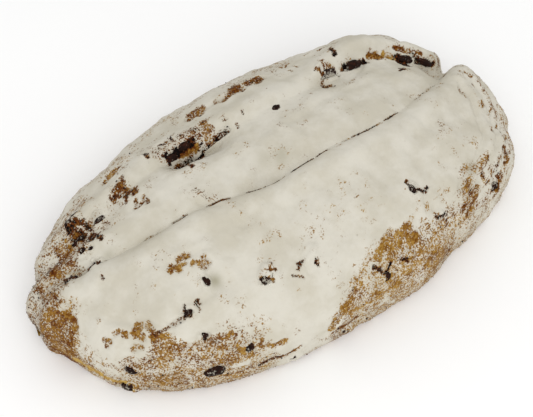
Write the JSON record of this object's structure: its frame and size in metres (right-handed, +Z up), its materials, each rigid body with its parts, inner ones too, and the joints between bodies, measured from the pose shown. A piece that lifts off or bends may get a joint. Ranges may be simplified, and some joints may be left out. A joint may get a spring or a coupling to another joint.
{
  "type": "stollen",
  "caption": "Uncut folded fruit loaf with torn seams along its top, dark raisins set in the crust and a thick dusting of fine sugar.",
  "frame": {"origin": "middle of the flat underside, on the surface that the loaf stands on", "axes": "+X along the loaf towards the notched end, +Y across it towards the torn back, +Z up"},
  "size_m": [0.29, 0.1624, 0.07],
  "materials": {
    "crust": "browned yeast-dough crust, matt and slightly rough, dusted with sugar",
    "sugar": "packed fine icing sugar, matt off-white, rough",
    "raisin": "wrinkled dark dried fruit with a dull sheen"
  },
  "bodies": {
    "root": {"loaf": "crust", "raisin_01": "raisin", "raisin_02": "raisin", "raisin_03": "raisin", "raisin_04": "raisin", "raisin_05": "raisin", "raisin_06": "raisin", "raisin_07": "raisin", "raisin_08": "raisin", "raisin_09": "raisin", "raisin_10": "raisin", "raisin_11": "raisin", "raisin_12": "raisin", "raisin_13": "raisin", "raisin_14": "raisin", "raisin_15": "raisin", "raisin_16": "raisin", "raisin_17": "raisin", "raisin_18": "raisin", "raisin_19": "raisin", "raisin_20": "raisin", "raisin_21": "raisin", "raisin_22": "raisin", "raisin_23": "raisin", "raisin_24": "raisin", "raisin_25": "raisin", "raisin_26": "raisin", "raisin_27": "raisin", "raisin_28": "raisin", "raisin_29": "raisin", "raisin_30": "raisin"}
  },
  "joints": []
}
